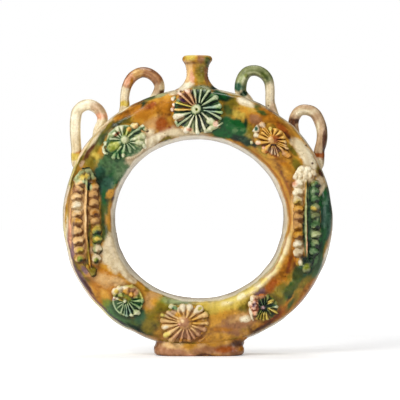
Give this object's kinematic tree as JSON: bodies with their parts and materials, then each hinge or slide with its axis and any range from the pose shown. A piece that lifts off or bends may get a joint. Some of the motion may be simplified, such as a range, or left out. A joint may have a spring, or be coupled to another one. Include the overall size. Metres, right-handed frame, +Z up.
{
  "type": "ring flask",
  "caption": "Upright ring-shaped glazed pottery flask with a waisted neck, loop handles on its shoulders, moulded rosettes and bead sprays on both faces, and an oblong foot.",
  "frame": {"origin": "on the table, under the middle of the ring, at the base of the foot", "axes": "+Z up through the neck, -Y out of the decorated front face, +X to the right as that face is seen"},
  "size_m": [0.242, 0.0628, 0.269],
  "materials": {
    "amber_glaze": "glossy amber lead glaze",
    "green_glaze": "glossy copper-green lead glaze",
    "cream_glaze": "glossy pale straw lead glaze"
  },
  "bodies": {
    "root": {"front_face": "amber_glaze", "back_face": "amber_glaze", "outer_wall_left": "cream_glaze", "outer_wall_right": "cream_glaze", "inner_wall": "cream_glaze", "neck": "amber_glaze", "foot": "amber_glaze", "handle_outer_left": "cream_glaze", "handle_inner_left": "amber_glaze", "handle_inner_right": "green_glaze", "handle_outer_right": "cream_glaze", "front_crest_rosette": "green_glaze", "back_crest_rosette": "green_glaze", "front_upper_left_rosette": "green_glaze", "back_upper_left_rosette": "green_glaze", "front_upper_right_rosette": "amber_glaze", "back_upper_right_rosette": "amber_glaze", "front_lower_left_medallion": "green_glaze", "back_lower_left_medallion": "green_glaze", "front_lower_right_medallion": "green_glaze", "back_lower_right_medallion": "green_glaze", "front_base_rosette": "amber_glaze", "back_base_rosette": "amber_glaze", "front_left_spray": "amber_glaze", "back_left_spray": "amber_glaze", "front_right_spray": "green_glaze", "back_right_spray": "green_glaze"}
  },
  "joints": []
}
